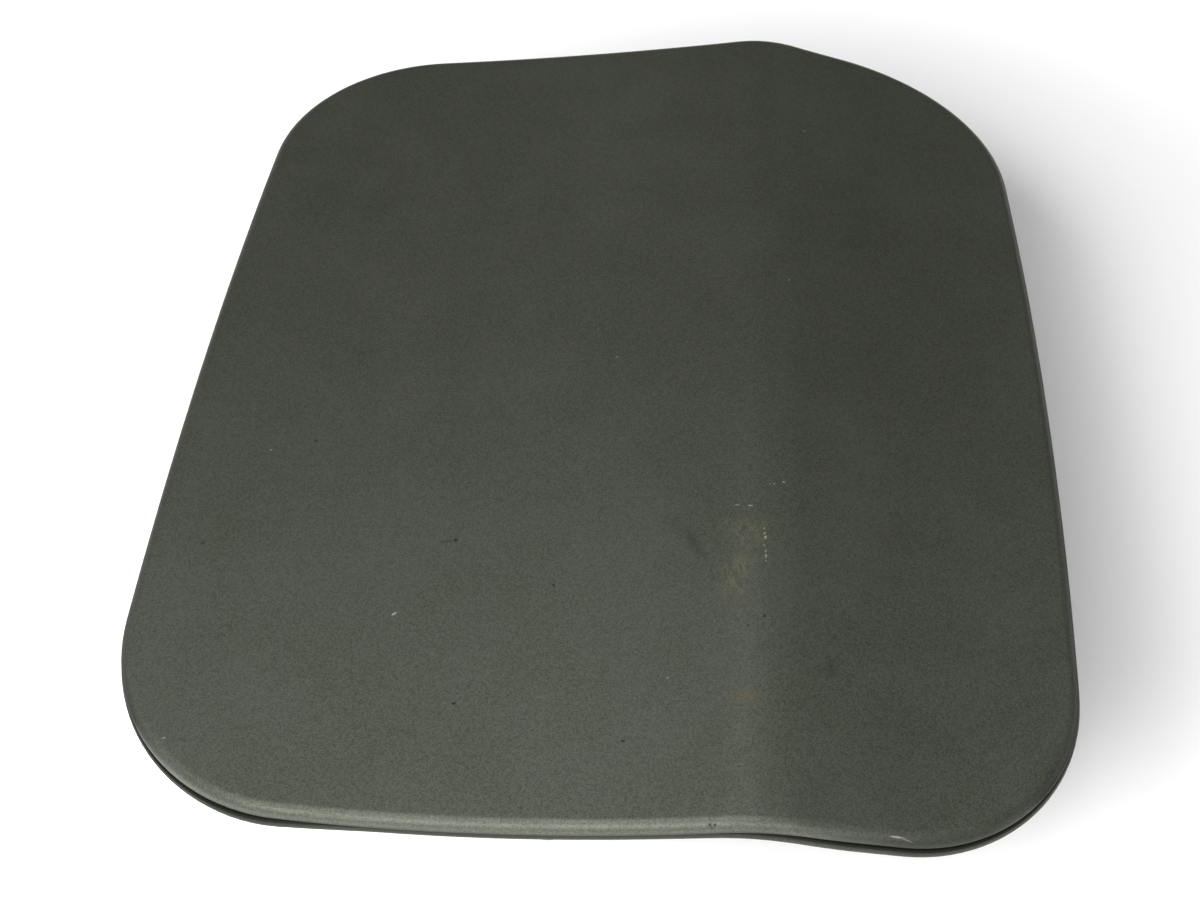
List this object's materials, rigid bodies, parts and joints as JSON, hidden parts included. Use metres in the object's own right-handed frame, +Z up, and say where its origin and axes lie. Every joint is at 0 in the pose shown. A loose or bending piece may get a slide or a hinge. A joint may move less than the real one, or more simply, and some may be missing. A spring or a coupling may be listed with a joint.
{
  "type": "car fuel door",
  "caption": "Car fuel door with a long crease and a hemmed rim, on a hinge base, with a latch striker and a cap hook.",
  "frame": {"origin": "on the floor plane, under the middle of the lid's outline", "axes": "+X across the crease to the side past it, +Y along the crease towards the hinge, +Z up out of the lid's painted face; the lid is closed and level"},
  "size_m": [0.1507, 0.1774, 0.0393],
  "materials": {
    "body_paint": "dark olive-grey metallic paint",
    "painted_sealer": "painted over, matt",
    "mastic": "matt",
    "zinc_plate": "zinc plated, satin",
    "spring_steel": "black oxide",
    "rubber": "matt",
    "nylon": "natural",
    "black_plastic": "fine grain"
  },
  "bodies": {
    "base": {"hinge_base": "zinc_plate", "bush_left": "nylon", "bush_right": "nylon", "leaf_spring": "spring_steel", "leaf_rivets": "zinc_plate", "stop_buffer": "rubber"},
    "lid": {"outer_skin": "body_paint", "inner_panel": "body_paint", "hem_sealer": "painted_sealer", "flutter_pads": "mastic", "hinge_arm": "zinc_plate", "arm_screws": "zinc_plate", "weld_nuts": "zinc_plate", "hinge_pin": "zinc_plate", "pin_clip": "spring_steel", "striker": "body_paint", "striker_rivets": "body_paint", "bump_stop_left": "rubber", "bump_stop_right": "rubber", "cap_hook": "black_plastic", "access_plugs": "rubber"}
  },
  "joints": [
    {"name": "lid_hinge", "type": "hinge", "parent": "base", "child": "lid", "pos_m": [0, 0.0745, 0.016], "axis": [-1, 0, 0], "range_deg": [0, 90], "deforming": ["leaf_spring"]}
  ]
}
